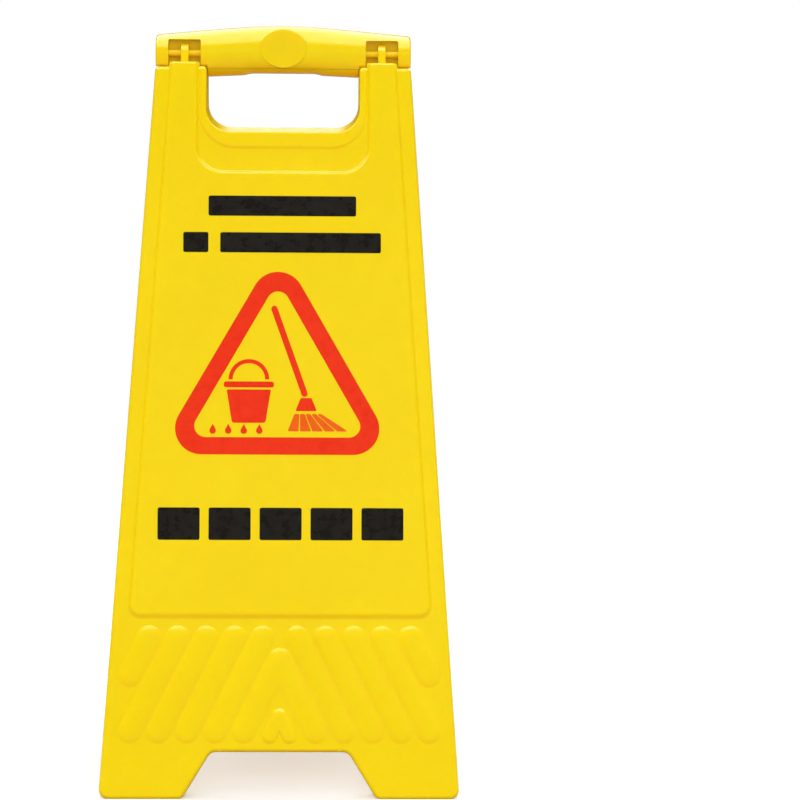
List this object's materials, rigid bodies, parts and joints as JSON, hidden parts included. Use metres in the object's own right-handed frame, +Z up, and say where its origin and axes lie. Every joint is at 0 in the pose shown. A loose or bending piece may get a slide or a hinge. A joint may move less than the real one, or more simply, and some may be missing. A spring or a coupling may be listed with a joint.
{
  "type": "folding floor sign",
  "caption": "Folding A-frame floor sign: two moulded tray panels hinged under a carrying handle, with plain film graphics on both faces.",
  "frame": {"origin": "on the floor at the centre of the open sign's footprint", "axes": "+Z up, +X to the viewer's right when looking at the front panel, the front panel faces -Y; the rest pose is the open sign"},
  "size_m": [0.2988, 0.3114, 0.6342],
  "materials": {
    "yellow_plastic": "satin injection-moulded polypropylene with a fine texture",
    "red_film": "satin cut film",
    "orange_film": "satin cut film",
    "black_film": "satin cut film",
    "screw_steel": "bright zinc plated"
  },
  "bodies": {
    "handle": {"cover_screw_left": "screw_steel", "cover_screw_right": "screw_steel", "handle_lower_cover": "yellow_plastic", "handle_upper_shell": "yellow_plastic", "hinge_pin_front_left": "yellow_plastic", "hinge_pin_front_right": "yellow_plastic", "hinge_pin_rear_left": "yellow_plastic", "hinge_pin_rear_right": "yellow_plastic"},
    "front_panel": {"front_bucket_symbol": "red_film", "front_headline_bar_1": "black_film", "front_headline_bar_2": "black_film", "front_headline_bar_3": "black_film", "front_lower_bar_1": "black_film", "front_lower_bar_2": "black_film", "front_lower_bar_3": "black_film", "front_lower_bar_4": "black_film", "front_lower_bar_5": "black_film", "front_mop_head_symbol": "orange_film", "front_mop_pole_symbol": "red_film", "front_panel": "yellow_plastic", "front_splash_symbol_1": "red_film", "front_splash_symbol_2": "red_film", "front_splash_symbol_3": "red_film", "front_splash_symbol_4": "red_film", "front_warning_triangle": "red_film"},
    "rear_panel": {"rear_bucket_symbol": "red_film", "rear_headline_bar_1": "black_film", "rear_headline_bar_2": "black_film", "rear_headline_bar_3": "black_film", "rear_lower_bar_1": "black_film", "rear_lower_bar_2": "black_film", "rear_lower_bar_3": "black_film", "rear_lower_bar_4": "black_film", "rear_lower_bar_5": "black_film", "rear_mop_head_symbol": "orange_film", "rear_mop_pole_symbol": "red_film", "rear_panel": "yellow_plastic", "rear_splash_symbol_1": "red_film", "rear_splash_symbol_2": "red_film", "rear_splash_symbol_3": "red_film", "rear_splash_symbol_4": "red_film", "rear_warning_triangle": "red_film"}
  },
  "joints": [
    {"name": "front_panel_hinge", "type": "hinge", "parent": "handle", "child": "front_panel", "pos_m": [0, -0.0102, 0.61099], "axis": [1, 0, 0], "range_deg": [0, 12.5]},
    {"name": "rear_panel_hinge", "type": "hinge", "parent": "handle", "child": "rear_panel", "pos_m": [0, 0.0102, 0.61099], "axis": [-1, 0, 0], "range_deg": [0, 12.5]}
  ]
}
